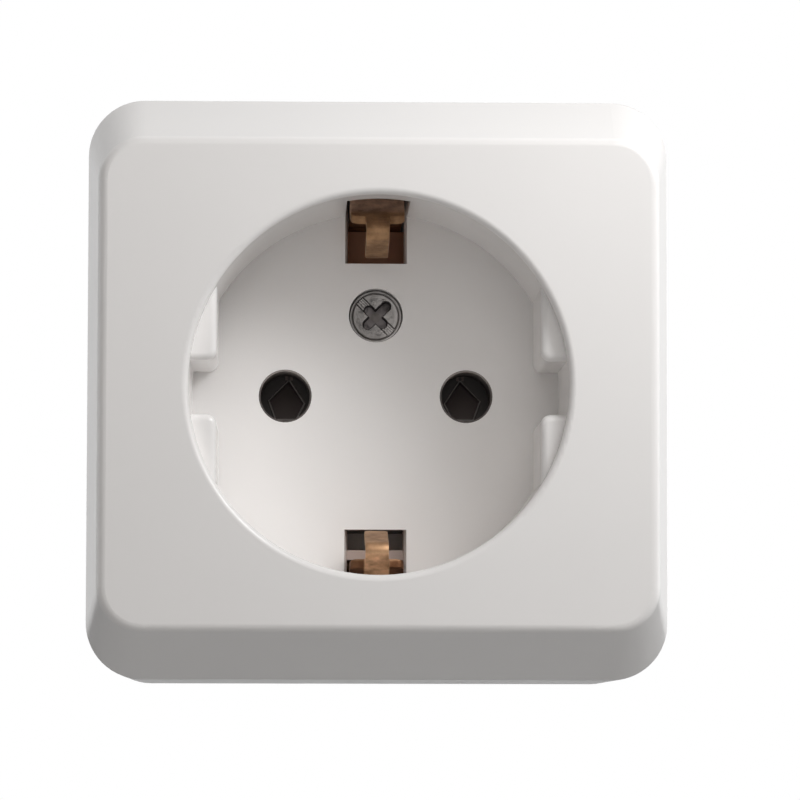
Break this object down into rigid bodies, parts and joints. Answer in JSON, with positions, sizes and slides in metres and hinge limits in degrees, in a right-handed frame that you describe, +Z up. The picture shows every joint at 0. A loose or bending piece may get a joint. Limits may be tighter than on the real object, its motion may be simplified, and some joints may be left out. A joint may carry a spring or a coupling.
{
  "type": "wall socket",
  "caption": "Square white surface-mounted wall socket with a bevelled cover, a round plug recess with guide ribs, side earth clips and a spring-loaded pin-hole shutter.",
  "frame": {"origin": "centre of the back face, which goes on the wall", "axes": "+Z is up, +X is to the right seen from the front, +Y points into the wall and the front looks along -Y"},
  "size_m": [0.0598, 0.042, 0.0598],
  "materials": {
    "white_plastic": "smooth satin gloss",
    "base_plastic": "matt",
    "black_plastic": "satin",
    "block_plastic": "matt",
    "brass": "rolled and punched",
    "zinc_steel": "zinc plated",
    "spring_steel": "plain"
  },
  "bodies": {
    "housing": {"cover": "white_plastic", "base": "base_plastic", "contact_block": "block_plastic", "shutter_frame": "black_plastic", "shutter_spring": "spring_steel", "earth_strap": "brass", "terminal_screws": "zinc_steel", "block_screws": "zinc_steel", "cover_screw": "zinc_steel", "cover_nut": "zinc_steel", "contact_left": "brass", "contact_right": "brass", "contact_spring_left": "spring_steel", "contact_spring_right": "spring_steel", "terminal_left": "brass", "terminal_right": "brass", "terminal_earth": "brass", "wire_clamp_left": "zinc_steel", "wire_clamp_right": "zinc_steel", "wire_clamp_earth": "zinc_steel"},
    "shutter": {"shutter_slider": "black_plastic"}
  },
  "joints": [
    {"name": "shutter_slide", "type": "slide", "parent": "housing", "child": "shutter", "axis": [0, 0, -1], "range_m": [0, 0.006], "stiffness_N_per_m": 100, "springref_m": -0.002, "deforming": ["shutter_spring"]}
  ]
}
